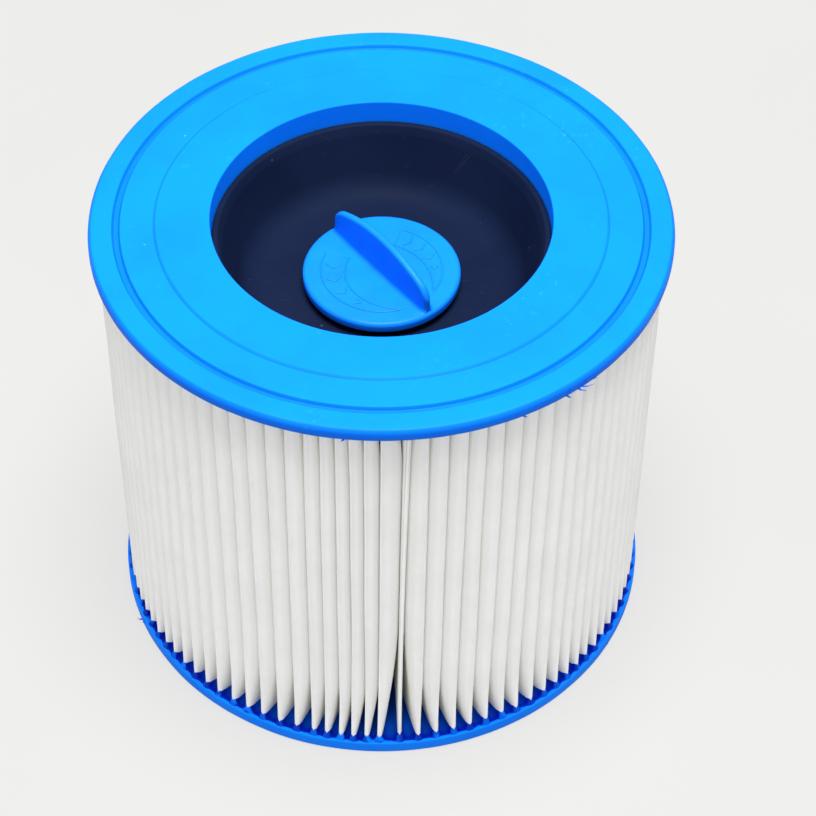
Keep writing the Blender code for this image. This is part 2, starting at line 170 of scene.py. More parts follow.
def slab(name, outline, low, high, edge, finish, body):
    """An (x, y) outline raised from one height to another, with rounded edges."""
    count = len(outline)
    verts = [(x, y, z) for z in (low, high) for x, y in outline]
    faces = [tuple(range(count))[::-1], tuple(range(count, 2 * count))]
    faces += [(i, (i + 1) % count, (i + 1) % count + count, i + count) for i in range(count)]
    obj = make_object(name, verts, faces, finish, body)
    bevel = obj.modifiers.new("edge", "BEVEL")
    bevel.width = edge * MM
    bevel.segments = 3
    bevel.limit_method = "ANGLE"
    bevel.angle_limit = radians(40)
    return obj


def ring_noise(angle, height, scale, seed):
    """Smooth noise from -1 to 1 that joins up round the ring."""
    return noise.noise(Vector((cos(angle) * scale, sin(angle) * scale, height + seed)))


def turned(x, y, angle):
    """A point turned about the axis by an angle in degrees."""
    a = radians(angle)
    return x * cos(a) - y * sin(a), x * sin(a) + y * cos(a)


def polar(radius, angle):
    """The (x, y) of a point at an angle in degrees."""
    return radius * cos(radians(angle)), radius * sin(radians(angle))


def wrapped(angle):
    """An angle in radians, brought between -pi and pi."""
    return (angle + pi) % (2 * pi) - pi


def clamp(value, low=0.0, high=1.0):
    return min(max(value, low), high)


# ---------------------------------------------------------------- materials


class Nodes:
    """Builds one material's node tree."""

    def __init__(self, name, slot=None, **sockets):
        self.material = bpy.data.materials.new(name)
        self.material["slot"] = slot
        self.material.use_nodes = True
        self.tree = self.material.node_tree
        self.shader = self.tree.nodes["Principled BSDF"]
        for socket, value in sockets.items():
            self.put(value, self.shader.inputs[socket.replace("_", " ")])
        self.place = self.add("ShaderNodeTexCoord").outputs["Object"]

    def put(self, value, socket):
        """Links another node's output to a socket, or sets the socket to a number or colour."""
        if isinstance(value, bpy.types.NodeSocket):
            self.tree.links.new(value, socket)
        elif socket.type == "RGBA":
            socket.default_value = (*value, 1.0)
        else:
            socket.default_value = value

    def add(self, kind, inputs=(), **settings):
        """A new node, with its settings and what goes into its sockets."""
        node = self.tree.nodes.new(kind)
        for name, value in settings.items():
            setattr(node, name, value)
        for name, value in dict(inputs).items():
            self.put(value, node.inputs[name])
        return node

    def stretched(self, scale):
        """The object's coordinates, scaled along each axis."""
        return self.add("ShaderNodeMapping", {"Vector": self.place, "Scale": scale}).outputs[0]

    def noise(self, scale, detail=3.0, roughness=0.55, place=None, distortion=0.0):
        """Soft clouds from 0 to 1, about scale of them in a metre."""
        inputs = {
            "Vector": place or self.place, "Scale": scale, "Detail": detail,
            "Roughness": roughness, "Distortion": distortion,
        }
        return self.add("ShaderNodeTexNoise", inputs).outputs["Fac"]

    def ramp(self, factor, low, high, start=0.0, end=1.0):
        """factor from low to high, as start to end."""
        inputs = {"Value": factor, "From Min": low, "From Max": high, "To Min": start, "To Max": end}
        return self.add("ShaderNodeMapRange", inputs, interpolation_type="SMOOTHSTEP").outputs[0]

    def maths(self, operation, a, b):
        """Two numbers or outputs combined into one."""
        node = self.add("ShaderNodeMath", operation=operation)
        self.put(a, node.inputs[0])
        self.put(b, node.inputs[1])
        return node.outputs[0]

    def blend(self, factor, first, second):
        """Mixes two colours."""
        node = self.add("ShaderNodeMix", data_type="RGBA")
        for number, value in ((0, factor), (6, first), (7, second)):
            self.put(value, node.inputs[number])
        return node.outputs[2]

    def attribute(self, name):
        """The number that shade_points stored on each point."""
        return self.add("ShaderNodeAttribute", attribute_name=name).outputs["Fac"]

    def specks(self, scale, size, share):
        """1 on small scattered dots, each up to size of a cell across, in that share of cells."""
        cells = self.add("ShaderNodeTexVoronoi", {"Vector": self.place, "Scale": scale})
        chosen = self.ramp(cells.outputs["Color"], 1 - share, 1 - share + 0.02)
        return self.maths("MULTIPLY", chosen, self.ramp(cells.outputs["Distance"], size, size * 0.6))

    def bump(self, height, distance, strength=1.0, under=None):
        """A surface direction for relief as deep as distance millimetres, laid over another one."""
        inputs = {"Height": height, "Distance": distance * MM, "Strength": strength}
        if under:
            inputs["Normal"] = under
        return self.add("ShaderNodeBump", inputs).outputs[0]

    def finish(self, colour=None, roughness=None, normal=None):
        """Links the outputs to the surface, and gives its material."""
        for name, value in (("Base Color", colour), ("Roughness", roughness), ("Normal", normal)):
            if value is not None:
                self.tree.links.new(value, self.shader.inputs[name])
        return self.material


def cast_blue():
    """Soft cast polyurethane: a matt skin with faint clouds, rubbed patches and tiny specks.
    Where the attribute pool_and_painted_shade is 1, the cast set in the open and is glossy, and painted
    shade makes it dark blue."""
    n = Nodes("cap_blue", "cap_polyurethane", Specular_IOR_Level=0.04)
    clouds = n.noise(28, 4)
    patches = n.ramp(n.noise(35, 2), 0.5, 0.7)
    rubbed = n.maths("MULTIPLY", n.ramp(n.noise(420, 2, 0.6), 0.62, 0.72), patches)
    tone = n.blend(n.ramp(clouds, 0.3, 0.7), (0.002, 0.19, 0.90), (0.002, 0.168, 0.84))
    tone = n.blend(n.maths("MULTIPLY", rubbed, 0.2), tone, (0.05, 0.34, 0.95))
    tone = n.blend(n.maths("MULTIPLY", n.specks(90, 0.028, 0.3), 0.5), tone, (0.25, 0.55, 0.95))
    pool_and_painted_shade = n.attribute("pool_and_painted_shade")
    # painted shade: this dark blue stands in for shade between the blades and on the top cap's side,
    # hole wall, step and groove
    tone = n.blend(pool_and_painted_shade, tone, (0.0008, 0.010, 0.30))
    rough = n.maths("SUBTRACT", n.ramp(clouds, 0.3, 0.7, 0.46, 0.56), n.maths("MULTIPLY", pool_and_painted_shade, 0.26))
    grain = n.maths("ADD", n.maths("MULTIPLY", n.noise(900, 2), 0.35), clouds)
    return n.finish(tone, rough, n.bump(grain, 0.12, 0.5))


def knob_plastic():
    """Hard moulded plastic with a faint spark-eroded grain and light scuffs."""
    n = Nodes("knob_blue", "knob_plastic", Specular_IOR_Level=0.07)
    clouds = n.noise(60, 3)
    scuffs = n.ramp(n.noise(260, 4, 0.7, n.stretched((1, 5, 1))), 0.62, 0.75)
    tone = n.blend(n.ramp(clouds, 0.35, 0.65), (0.004, 0.185, 0.93), (0.004, 0.165, 0.86))
    tone = n.blend(n.maths("MULTIPLY", scuffs, 0.1), tone, (0.12, 0.4, 0.95))
    rough = n.ramp(scuffs, 0, 1, 0.34, 0.5)
    grain = n.maths("ADD", n.noise(1500, 2), n.maths("MULTIPLY", clouds, 0.6))
    return n.finish(tone, rough, n.bump(grain, 0.05, 0.5))


def navy_plastic():
    """Dark moulded plastic, satin, with faint clouds, dust and hairline scratches."""
    n = Nodes("lid_navy", "lid_plastic", Specular_IOR_Level=0.028)
    clouds = n.noise(22, 4)
    dust = n.maths("MAXIMUM", n.ramp(n.noise(1600, 2, 0.5), 0.73, 0.80), n.specks(150, 0.07, 0.3))
    scratches = n.ramp(n.noise(60, 3, 0.6, n.stretched((1, 22, 1)), 2.0), 0.69, 0.71)
    marks = n.maths("ADD", n.maths("MULTIPLY", dust, 0.35), n.maths("MULTIPLY", scratches, 0.12))
    tone = n.blend(n.ramp(clouds, 0.3, 0.7), (0.0036, 0.0078, 0.026), (0.0052, 0.0102, 0.032))
    tone = n.blend(marks, tone, (0.10, 0.12, 0.17))
    grain = n.maths("ADD", clouds, n.maths("MULTIPLY", n.noise(1100), 0.3))
    return n.finish(tone, n.ramp(clouds, 0.3, 0.7, 0.52, 0.64), n.bump(grain, 0.08, 0.4))


def filter_sheet():
    """White spun-bonded sheet: fine fibres lying every way, faint clouds of uneven weight, a painted
    highlight along the folds' edges, and a warmer, brighter painted bounce light towards the foot of the
    folds."""
    n = Nodes(
        "filter_sheet", "filter_sheet", Specular_IOR_Level=0.15, Subsurface_Weight=0.35,
        Subsurface_Radius=(1.0, 1.0, 0.9), Subsurface_Scale=1.5 * MM,
    )
    depth = n.attribute("depth")
    weight = n.noise(55, 3)
    lengthwise = n.noise(700, 4, 0.7, n.stretched((1, 1, 0.12)), 0.6)
    crosswise = n.noise(500, 4, 0.7, n.stretched((0.3, 0.3, 1.2)), 0.8)
    fibres = n.maths("ADD", n.maths("MULTIPLY", lengthwise, 0.6), n.maths("MULTIPLY", crosswise, 0.4))
    cells = {"Vector": n.stretched((1, 1, 0.6)), "Scale": 620}
    bonds = n.add("ShaderNodeTexVoronoi", cells).outputs["Distance"]
    dimples = n.ramp(bonds, 0.05, 0.35)
    # painted highlight: the folds' edges are painted lighter than their faces
    tone = n.blend(n.ramp(depth, 0.0, 0.02), (0.93, 0.93, 0.925), (0.86, 0.86, 0.845))
    # painted light: a warm, brighter bounce light painted down the folds towards their feet
    tone = n.blend(n.ramp(depth, 0.02, 0.11), tone, (0.95, 0.95, 0.86))
    tone = n.blend(n.ramp(weight, 0.35, 0.7, 0.0, 0.3), tone, (0.80, 0.80, 0.775))
    tone = n.blend(n.ramp(fibres, 0.35, 0.62, 0.12, 0.0), tone, (0.72, 0.72, 0.70))
    rough = n.ramp(fibres, 0.3, 0.7, 0.8, 0.95)
    relief = n.maths("ADD", fibres, n.maths("MULTIPLY", dimples, 0.25))
    normal = n.bump(relief, 0.14, 0.6, n.bump(weight, 0.5, 0.35))
    return n.finish(tone, rough, normal)


def core_plastic():
    """Black moulded plastic, nearly matt."""
    n = Nodes("core_black", "core_plastic", Specular_IOR_Level=0.4)
    clouds = n.noise(40, 3)
    tone = n.blend(n.ramp(clouds, 0.3, 0.7), (0.018, 0.018, 0.02), (0.03, 0.03, 0.033))
    return n.finish(tone, n.ramp(clouds, 0.3, 0.7, 0.42, 0.58), n.bump(n.noise(1200, 2), 0.06, 0.5))


def seal_rubber():
    """Black rubber, matt."""
    n = Nodes("seal_black", "seal_rubber", Specular_IOR_Level=0.35)
    clouds = n.noise(90, 3)
    tone = n.blend(n.ramp(clouds, 0.3, 0.7), (0.016, 0.016, 0.016), (0.03, 0.03, 0.029))
    return n.finish(tone, n.ramp(clouds, 0.3, 0.7, 0.62, 0.78), n.bump(n.noise(1500, 2), 0.05, 0.5))


def plated_steel():
    """Zinc-plated steel with faint streaks along it."""
    n = Nodes("zinc_steel", "spring_steel", Metallic=1.0)
    streaks = n.noise(160, 4, 0.6, n.stretched((1, 9, 1)))
    tone = n.blend(n.ramp(streaks, 0.3, 0.7), (0.60, 0.60, 0.61), (0.50, 0.50, 0.50))
    return n.finish(tone, n.ramp(streaks, 0.3, 0.7, 0.22, 0.38), n.bump(streaks, 0.03, 0.4))


CAP = cast_blue()
KNOB = knob_plastic()
NAVY = navy_plastic()
SHEET = filter_sheet()
CORE = core_plastic()
RUBBER = seal_rubber()
STEEL = plated_steel()


# ---------------------------------------------------------------- pleats

RIGHT_OF_SEAM, LEFT_OF_SEAM = 0.75, 0.94  # the first and last pitch
RIGHT_FOOT, LEFT_FOOT = 0.22, 0.13  # how far from the seam the sheet's ends stand, in pitches
TIP_HALF = 0.85  # half width of a fold's edge where the caps hold it
CREST_HALF = 0.35  # and where the pleats swell
LEAN_FADE = 0.6  # power by which the pleats lean less towards the back
BLADE_FADE = 2.5  # power by which a narrow blade leans less towards its foot
SEAM_DELAY = 2.3  # how many times higher the faces beside the seam are when they have swollen
CREST_SHARE = 0.018  # how soon below its edge a swollen pleat widens, as a share of its depth
LEAN_SHARE = 0.03  # and how soon it stops following its edge's lean
# The points down a pleat's side, from its edge (0) to its foot (1).
SIDE_SHARES = (0.01, 0.03, 0.065, 0.115, 0.19, 0.32, 0.5, 0.75, 1.0)


def fold_angles():
    """Angles of the sheet's outer folds, in radians. The seam is first and last, and takes the
    place of one fold. The pitch wanders as it does on a hand-laid pack of pleats, and is closest
    just left of the seam."""
    spread = np.random.default_rng(7)
    pitch = 1 + 0.04 * np.sin(np.arange(PLEATS) * 0.37) + 0.06 * spread.uniform(-1, 1, PLEATS)
    pitch[1:5] += 0.02
    pitch[-6:-1] -= 0.16
    pitch[-12:-6] += 0.06
    pitch[[0, -1]] = RIGHT_OF_SEAM, LEFT_OF_SEAM
    return radians(SEAM_TURN) + np.concatenate([[0], np.cumsum(pitch)]) / pitch.sum() * 2 * pi


FOLDS = fold_angles()
FEET = (FOLDS[1:] + FOLDS[:-1]) / 2
FEET[0] = FOLDS[0] + RIGHT_FOOT * (FOLDS[1] - FOLDS[0])
FEET[-1] = FOLDS[-1] - LEFT_FOOT * (FOLDS[-1] - FOLDS[-2])


def from_seam(angle):
    """1 just right of the seam, 0 at the back and -1 just left of the seam."""
    return 1.0 - 2.0 * (angle - FOLDS[0]) / (2 * pi)


def seam_lean(r, z):
    """How far the seam's fin leans to the right: hardly at all in the bottom cap, and most at its
    edge in the top cap."""
    root, edge = 80.0, 98.0
    at_edge = 2.5 * (z / HEIGHT) ** 1.8 - 0.4
    return at_edge * max((r - root) / (edge - root), 0.0) ** 1.4


def lean(k, z):
    """How far the edge of fold k leans sideways, away from the seam, less and less towards the
    back. On the right of the seam it leans further higher up, as the sheet is a little twisted."""
    away, rise = from_seam(FOLDS[k]), z / HEIGHT
    if k == PLEATS - 1:  # the last pleat comes closer to the seam higher up
        return 1.4 * rise - 2.1
    beside_seam = 1.8 + 1.6 * rise if away > 0 else 0.5 * rise - 2.2
    return beside_seam * abs(away) ** LEAN_FADE


def valley_shift(k, r, z):
    """How far the valley after fold k is shifted, so that it lies close beside the edge that
    leans over it. Beside the seam, it follows the seam's fin."""
    tip_zone, behind, fade_depth = 3.0, 2.6, 9.0
    if k == 0:
        return seam_lean(r, z)
    if k == PLEATS - 1:
        return seam_lean(r, z) * min((TIP_RADIUS - r) / tip_zone, 1.0)
    away = from_seam(FEET[k])
    leaning = k if away > 0 else k + 1
    behind_edge = np.sign(away) * behind * abs(away) ** LEAN_FADE
    return (lean(leaning, z) - behind_edge) * exp((r - TIP_RADIUS) / fade_depth)


def bloom(z, variation, delay=1.0):
    """0 where the bottom cap holds the sheet in narrow blades, 1 where the pleats swell and touch.
    At the top cap they shrink only a little."""
    bottom_reach, top_reach, top_loss = 32, 22, 0.3
    bottom = clamp((z - CAP_SIDE - 1.5) / (bottom_reach * variation * delay))
    top = clamp((HEIGHT - CAP_SIDE - 1.0 - z) / (top_reach * variation))
    return min(1 - (1 - bottom) ** 1.6, 1 - top_loss * (1 - top) ** 2)


def pleat_section(k, z, variation):
    """One pleat's outer face at one height, as (radius, angle, depth) points from its left foot
    to its right one. The right foot belongs to the next pleat."""
    fold = FOLDS[k]
    edge_radius = TIP_RADIUS - 0.45 + 0.35 * noise.noise(Vector((k * 3.1, 0, z * 0.02)))
    wander = 0.4 * noise.noise(Vector((k * 1.7, 5, z * 0.02)))
    wander += 0.12 * noise.noise(Vector((k, 8, z * 0.09)))
    run_of = []
    for side, foot in ((-1, FEET[k - 1]), (1, FEET[k])):
        beside_seam = (k == 1 and side < 0) or (k == PLEATS - 1 and side > 0)
        mix = bloom(z, variation, SEAM_DELAY if beside_seam else 1.0)
        across = lean(k, z) + wander * mix
        tip = TIP_HALF + (CREST_HALF - TIP_HALF) * mix
        half_pitch = abs(foot - fold)
        run = []
        for u in SIDE_SHARES:
            r = edge_radius - u * (edge_radius - FOOT_RADIUS)
            blade_half = tip + u * (half_pitch * FOOT_RADIUS - tip)
            near_edge = exp(-u / CREST_SHARE)
            swollen_half = tip * near_edge + half_pitch * r * (1 - near_edge)
            half = blade_half + (swollen_half - blade_half) * mix
            blade_shift = across * (1 - u) ** BLADE_FADE
            valley = valley_shift(k if side > 0 else k - 1, r, z)
            follow = exp(-u / LEAN_SHARE)
            swollen_shift = (across * follow + valley * (1 - follow)) * (1 - u)
            shift = blade_shift * (1 - mix) + swollen_shift * mix
            run.append((r, fold + (side * half + shift) / r, u))
        run[-1] = (FOOT_RADIUS, foot, 1.0)
        run_of.append(run[::side])
    crown, shoulder, rise, shoulder_drop = [], 0.95, 0.8, 0.5
    for offset, drop in ((-shoulder, shoulder_drop), (0.0, 0.0), (shoulder, shoulder_drop)):
        r = edge_radius + rise - drop
        crown.append((r, fold + (across + offset * tip) / r, 0.0))
    left, right = run_of
    return left + crown + right[:-1]


def end_panel(foot, side, z):
    """One of the sheet's two ends, from its edge beside the seam to its foot."""
    edge_radius = TIP_RADIUS - 0.8
    edge_half = 0.7 + 0.45 * (z / HEIGHT) ** 2
    foot_half = abs(foot - FOLDS[0 if side > 0 else -1]) * FOOT_RADIUS
    run = []
    for u in SIDE_SHARES:
        r = edge_radius - u * (edge_radius - FOOT_RADIUS)
        width = edge_half + (foot_half - edge_half) * u**3
        run.append((r, FOLDS[0] + (side * width + seam_lean(r, z)) / r, u))
    run[-1] = (FOOT_RADIUS, foot if side > 0 else foot - 2 * pi, 1.0)
    return run


def pleated_sheet():
    """The whole folded sheet, from one end round to the other, with its real thickness, and its
    unfolded length in metres. Its rows are closest together near the caps."""
    rows = 25
    shares = [(1 - cos(pi * i / (rows - 1))) / 2 for i in range(rows)]
    heights = [SHEET_LOW + (SHEET_HIGH - SHEET_LOW) * share for share in shares]
    variations = np.random.default_rng(3).uniform(0.8, 1.2, PLEATS)
    verts, depths = [], []
    for z in heights:
        line = end_panel(FEET[0], 1, z)
        for k in range(1, PLEATS):
            line += pleat_section(k, z, variations[k])[1 if k == 1 else 0:]
        line += [(r, a + 2 * pi, u) for r, a, u in end_panel(FEET[-1], -1, z)[::-1]]
        verts += [(r * cos(a), r * sin(a), z) for r, a, _ in line]
        depths += [u for _, _, u in line]
    across = len(line)
    faces = [
        (j * across + i, j * across + i + 1, (j + 1) * across + i + 1, (j + 1) * across + i)
        for j in range(rows - 1)
        for i in range(across - 1)
    ]
    sheet = make_object("filter_pleats", verts, faces, SHEET, "cartridge", sharp=0)
    shade_points(sheet, "depth", depths)
    thick = sheet.modifiers.new("thickness", "SOLIDIFY")
    thick.thickness = SHEET_THICK * MM
    thick.offset = -1.0
    thick.use_rim = True
    middle = np.array(verts[rows // 2 * across : (rows // 2 + 1) * across]) * MM
    return sheet, np.linalg.norm(np.diff(middle, axis=0), axis=1).sum()


def seam_strip():
    """Thin bonded strip between the sheet's ends, its outer edge cut a little unevenly."""
    rows, half, inner = 60, 0.35, 82.0
    verts, faces = [], []
    for j in range(rows + 1):
        z = SHEET_LOW + (SHEET_HIGH - SHEET_LOW) * j / rows
        edge = TIP_RADIUS - 0.5 + 0.25 * noise.noise(Vector((0, 0, z * 0.12)))
        for r, side in ((inner, -half), (edge, -half), (edge + 0.2, 0.0), (edge, half), (inner, half)):
            x, y = turned(r, side + seam_lean(r, z), SEAM_TURN)
            verts.append((x, y, z))
    for j in range(rows):
        a, b = 5 * j, 5 * (j + 1)
        faces += [(a + i, a + (i + 1) % 5, b + (i + 1) % 5, b + i) for i in range(5)]
    faces += [tuple(range(5)), tuple(range(5 * rows, 5 * rows + 5))]
    return make_object("seam_edge", verts, faces, SHEET, "cartridge")


# ---------------------------------------------------------------- end caps


def blade_gap(r, angle):
    """Sideways distance from a point on a cap to the nearest blade of the sheet, where the cap
    holds it, and the widest that it gets between two blades. Past the blades' edges, they go on
    as ever narrower ridges."""
    foot_half, half_pitch, narrowing = 1.9, 3.1, 1.5
    nearest = int(np.argmin(np.abs(wrapped(FOLDS - angle))))
    u = clamp((TIP_RADIUS - r) / (TIP_RADIUS - FOOT_RADIUS))
    beyond = max(r - TIP_RADIUS, 0.0)
    half = (TIP_HALF * (1 - u) + foot_half * u**2) / (1 + narrowing * beyond**2)
    gaps = []
    for k in (nearest - 1, nearest, nearest + 1):
        k %= PLEATS
        middle = lean(k, 0) * (1 - u) ** BLADE_FADE if k else seam_lean(r, 0)
        gaps.append(abs(wrapped(angle - FOLDS[k]) * r - middle) - half)
    return max(min(gaps), 0.0), half_pitch - half


def pot_level(plain, creep, edge, r, gap, closeness):
    """Level of the cast at a point: plain, but it climbs creep up each blade, dips between blades
    and rounds off at its edge."""
    climb_reach, climb_past, dip, rounding = 0.62, 1.1, 0.35, 0.9
    beyond = max(r - TIP_RADIUS, 0.0)
    climb = creep * exp(-(hypot(gap / climb_reach, beyond / climb_past) ** 1.3)) - dip * (1 - closeness)
    outward = clamp((r - (edge - rounding)) / rounding)
    return plain + climb * (1 - outward**2) - 0.4 * outward**3


def pool_gloss_and_painted_shade(coast, edge, r, angle, closeness):
    """How dark and glossy the cast is at a point: glossy and darkest, with painted shade, in the hollows
    between the blades, out to a shore that runs from the blades' edges to the coast midway between
    them. The rest gets lighter painted shade, the rim is plain, thin films of skin lie past the
    blades, and painted light lifts the hollows deeper in."""
    blade_end, blur = TIP_RADIUS - 0.3, 0.12
    shore = blade_end + (coast - blade_end) * sqrt(1 - closeness**1.5)
    # painted shade and real gloss: the hollows between the blades are glossy and painted darkest
    in_pool = clamp((shore + blur - r) / (2 * blur))
    # painted shade: the rest of the cast inside the rim is painted partly dark
    painted_dimming = clamp(0.7 + ring_noise(angle, 3, 16, 1.0), 0.5, 0.9) * (r < edge - 0.4)
    film = 0.75 * (r > TIP_RADIUS and ring_noise(angle, 6, 26, r * 0.4) > 0.3)
    # painted light: the painted shade is weaker deeper in, lifting hollows that the lamps barely reach
    depth = 1 - 0.6 * clamp((TIP_RADIUS - 1 - r) / 6.0)
    return max(in_pool, painted_dimming) * (1 - film) * depth


def potting(name, face, way, edge, steps, creep):
    """Ring of the cast cap between the pleats. It climbs each blade, dips between them to hollows that
    are glossy and painted dark as painted shade, and ends in a ragged scalloped edge. face is the
    height of the cap's outer face, way is 1 if the ring looks up, edge is its outer radius, steps are
    its points to a pleat, and creep is how far it climbs the blades."""
    denser, densest, back_level = 90.0, 96.5, 2.4
    radii = np.concatenate([
        np.linspace(POT_BORE, denser, 8)[:-1], np.linspace(denser, densest, 6)[:-1],
        np.linspace(densest, edge - 0.15, 14), [edge],
    ])
    around = PLEATS * steps
    verts, pool_and_painted_shades, faces = [], [], []
    for i in range(around):
        angle = FOLDS[0] + 2 * pi * i / around
        plain = POT_LEVEL + 0.2 * ring_noise(angle, 0, 14, 2.0)
        ragged = 0.25 + 0.35 * ring_noise(angle, 1, 9, 7.0) + 0.25 * ring_noise(angle, 1, 60, 5.0)
        coast = edge - 0.3 - max(ragged, 0.0)
        for r in radii:
            gap, widest = blade_gap(r, angle)
            closeness = clamp(1 - gap / widest)
            level = pot_level(plain, creep, edge, r, gap, closeness)
            verts.append((r * cos(angle), r * sin(angle), face + way * level))
            pool_and_painted_shades.append(pool_gloss_and_painted_shade(coast, edge, r, angle, closeness))
        for r in (edge, POT_BORE):
            verts.append((r * cos(angle), r * sin(angle), face + way * back_level))
            pool_and_painted_shades.append(0.0)
    row = len(radii) + 2
    for i in range(around):
        here, there = i * row, (i + 1) % around * row
        faces += [(here + j, here + (j + 1) % row, there + (j + 1) % row, there + j) for j in range(row)]
    ring = make_object(name, verts, faces, CAP, "cartridge", sharp=60)
    return shade_points(ring, "pool_and_painted_shade", pool_and_painted_shades)


def cast_wobble(angle, r, z):
    """Slight unevenness of the caps' outer sides."""
    out = 0.12 * ring_noise(angle, z * 0.05, 5, 1.0) + 0.05 * ring_noise(angle, z * 0.2, 40, 4.0)
    return (r + out if r > 95 else r), z


def top_cap():
    """Raised inner face, a small step, a flat-floored groove and a plain rim; inside, the seat for
    the lid's lip and seal. The side, the hole's wall, the step and the groove get painted shade: they
    are painted darker where less light falls."""
    step, groove_floor = HEIGHT - 0.8, HEIGHT - 2.2
    face_edge, step_foot, groove_in, groove_out, slope = 78.0, 79.0, 90.4, 93.3, 0.6
    ledge, ledge_bore, ledge_thick = SEAL_LOW - 0.3, 57.0, 2.4
    flange_low, under = HEIGHT - CAP_SIDE, HEIGHT - POT_LEVEL + 1.5
    profile = filleted([
        (HOLE_RADIUS, ledge, 0.25), (HOLE_RADIUS, HEIGHT, 0.4),
        (face_edge, HEIGHT, 0.3), (step_foot, step, 0.3),
        (groove_in, step, 0.3), (groove_in + slope, groove_floor, 0.5),
        (groove_out - slope, groove_floor, 0.5), (groove_out, step, 0.3),
        (TOP_RADIUS, step, 1.9), (TOP_RADIUS, flange_low, 0.9),
        (FLANGE_ROOT, flange_low, 0.25), (FLANGE_ROOT, under, 0.2),
        (POT_BORE, under, 0.2), (POT_BORE, ledge - ledge_thick, 0.5),
        (ledge_bore, ledge - ledge_thick, 0.5), (ledge_bore, ledge, 0.4),
    ])
    cap = lathe("top_cap_body", profile, 256, CAP, "cartridge", cast_wobble)
    # painted shade: the side, the hole's wall, the step and the groove are painted darker where less
    # light falls
    side_painted_shade, wall_painted_shade, groove_painted_shade = 0.3, 0.12, 0.24
    shades = []
    for x, y, z in (vert.co / MM for vert in cap.data.vertices):
        r = hypot(x, y)
        in_step = face_edge + 0.2 < r < step_foot
        in_groove = groove_in + 0.1 < r < groove_out - 0.1
        if r > TOP_RADIUS - 1.2:  # from halfway round the rim's rounded edge
            shade = side_painted_shade
        elif r < HOLE_RADIUS + 0.2:
            shade = wall_painted_shade
        elif z > HEIGHT - 4 and (in_step or in_groove):
            shade = groove_painted_shade
        else:
            shade = 0.0
        shades.append(shade)
    return shade_points(cap, "pool_and_painted_shade", shades)


def bottom_cap():
    """Flat ring with rounded edges, and a bore with two sealing beads."""
    bore, bead, mouth = 58.4, 1.1, 1.5
    rim_radius, shoulder_radius, shoulder_level = 0.9, 0.5, POT_LEVEL - 0.2
    step_in, under_pot = BOTTOM_RADIUS - 1.4, 3.2
    inner = [(POT_BORE, BOTTOM_COLLAR), (bore + 0.6, BOTTOM_COLLAR), (bore, BOTTOM_COLLAR - 0.6)]
    for bead_height in (9.2, 4.6):
        inner += arc((bore, bead_height), bead, 90, 270, 8)
    inner += [(bore, mouth)] + arc((bore + mouth, mouth), mouth, 180, 270, 5)[1:]
    mould_line = [(72.0, 0.0), (72.4, 0.5), (73.6, 0.5), (74.0, 0.0)]
    outer = (
        arc((BOTTOM_RADIUS - rim_radius, rim_radius), rim_radius, -90, 0, 6)
        + arc((BOTTOM_RADIUS - shoulder_radius, shoulder_level), shoulder_radius, 0, 90, 4)
        + [(step_in, POT_LEVEL), (step_in, under_pot), (POT_BORE, under_pot)]
    )
    return lathe("bottom_cap_body", inner + mould_line + outer, 256, CAP, "cartridge", cast_wobble)


def flash_burrs():
    """Small ragged threads of flash left on the rims by the mould: (angle, height, rim radius,
    length, way along the rim, rise)."""
    threads = (
        (-50.0, 173.2, TOP_RADIUS, 5.5, 1, 1.2), (-50.6, 172.8, TOP_RADIUS, 3.4, 1, -0.8),
        (-52.2, 173.6, TOP_RADIUS, 2.6, -1, 0.9), (-49.2, 173.9, TOP_RADIUS, 2.2, 1, 1.6),
        (-53.4, 172.7, TOP_RADIUS, 1.8, 1, -0.9), (-46.8, 172.8, TOP_RADIUS, 1.6, 1, 0.5),
        (-63.0, 172.7, TOP_RADIUS, 1.5, 1, -0.5), (-97.0, 172.6, TOP_RADIUS, 1.3, -1, -0.4),
        (-157.0, 2.2, BOTTOM_RADIUS, 3.6, -1, -1.4), (-156.2, 2.4, BOTTOM_RADIUS, 2.2, 1, 1.0),
        (-134.4, 1.4, BOTTOM_RADIUS, 1.7, 1, 0.5), (-135.0, 1.2, BOTTOM_RADIUS, 1.3, -1, 0.3),
        (-31.0, 2.0, BOTTOM_RADIUS, 1.4, 1, -0.3), (64.0, 172.8, TOP_RADIUS, 2.4, -1, -0.7),
        (150.0, 2.0, BOTTOM_RADIUS, 1.9, 1, 0.6),
    )
    steps, sides = 10, 5
    verts, faces = [], []
    for number, (start, height, rim, length, way, rise) in enumerate(threads):
        first = len(verts)
        for i in range(steps + 1):
            t = i / steps
            curl = 0.35 * t * noise.noise(Vector((number * 3.0, t * 3, 0)))
            r = rim - 0.4 + length * (0.75 * t - 0.2 * t**2) + curl
            angle = radians(start) + way * length * 0.6 * t**1.4 / rim
            z = height + rise * t + 0.8 * t * noise.noise(Vector((number * 3.0, t * 4, 5)))
            width = 0.42 * (1 - t) ** 0.7 + 0.09
            for k in range(sides):
                turn = 2 * pi * k / sides
                sideways, up = width * cos(turn), 0.55 * width * sin(turn)
                x = r * cos(angle) - sideways * sin(angle)
                y = r * sin(angle) + sideways * cos(angle)
                verts.append((x, y, z + up))
        for i in range(steps):
            a, b = first + i * sides, first + (i + 1) * sides
            faces += [(a + k, a + (k + 1) % sides, b + (k + 1) % sides, b + k) for k in range(sides)]
        faces += [tuple(range(first, first + sides)), tuple(range(len(verts) - sides, len(verts)))]
    burrs = make_object("flash_burrs", verts, faces, CAP, "cartridge")
    return shade_points(burrs, "pool_and_painted_shade", [0.5] * len(verts))


# ---------------------------------------------------------------- core


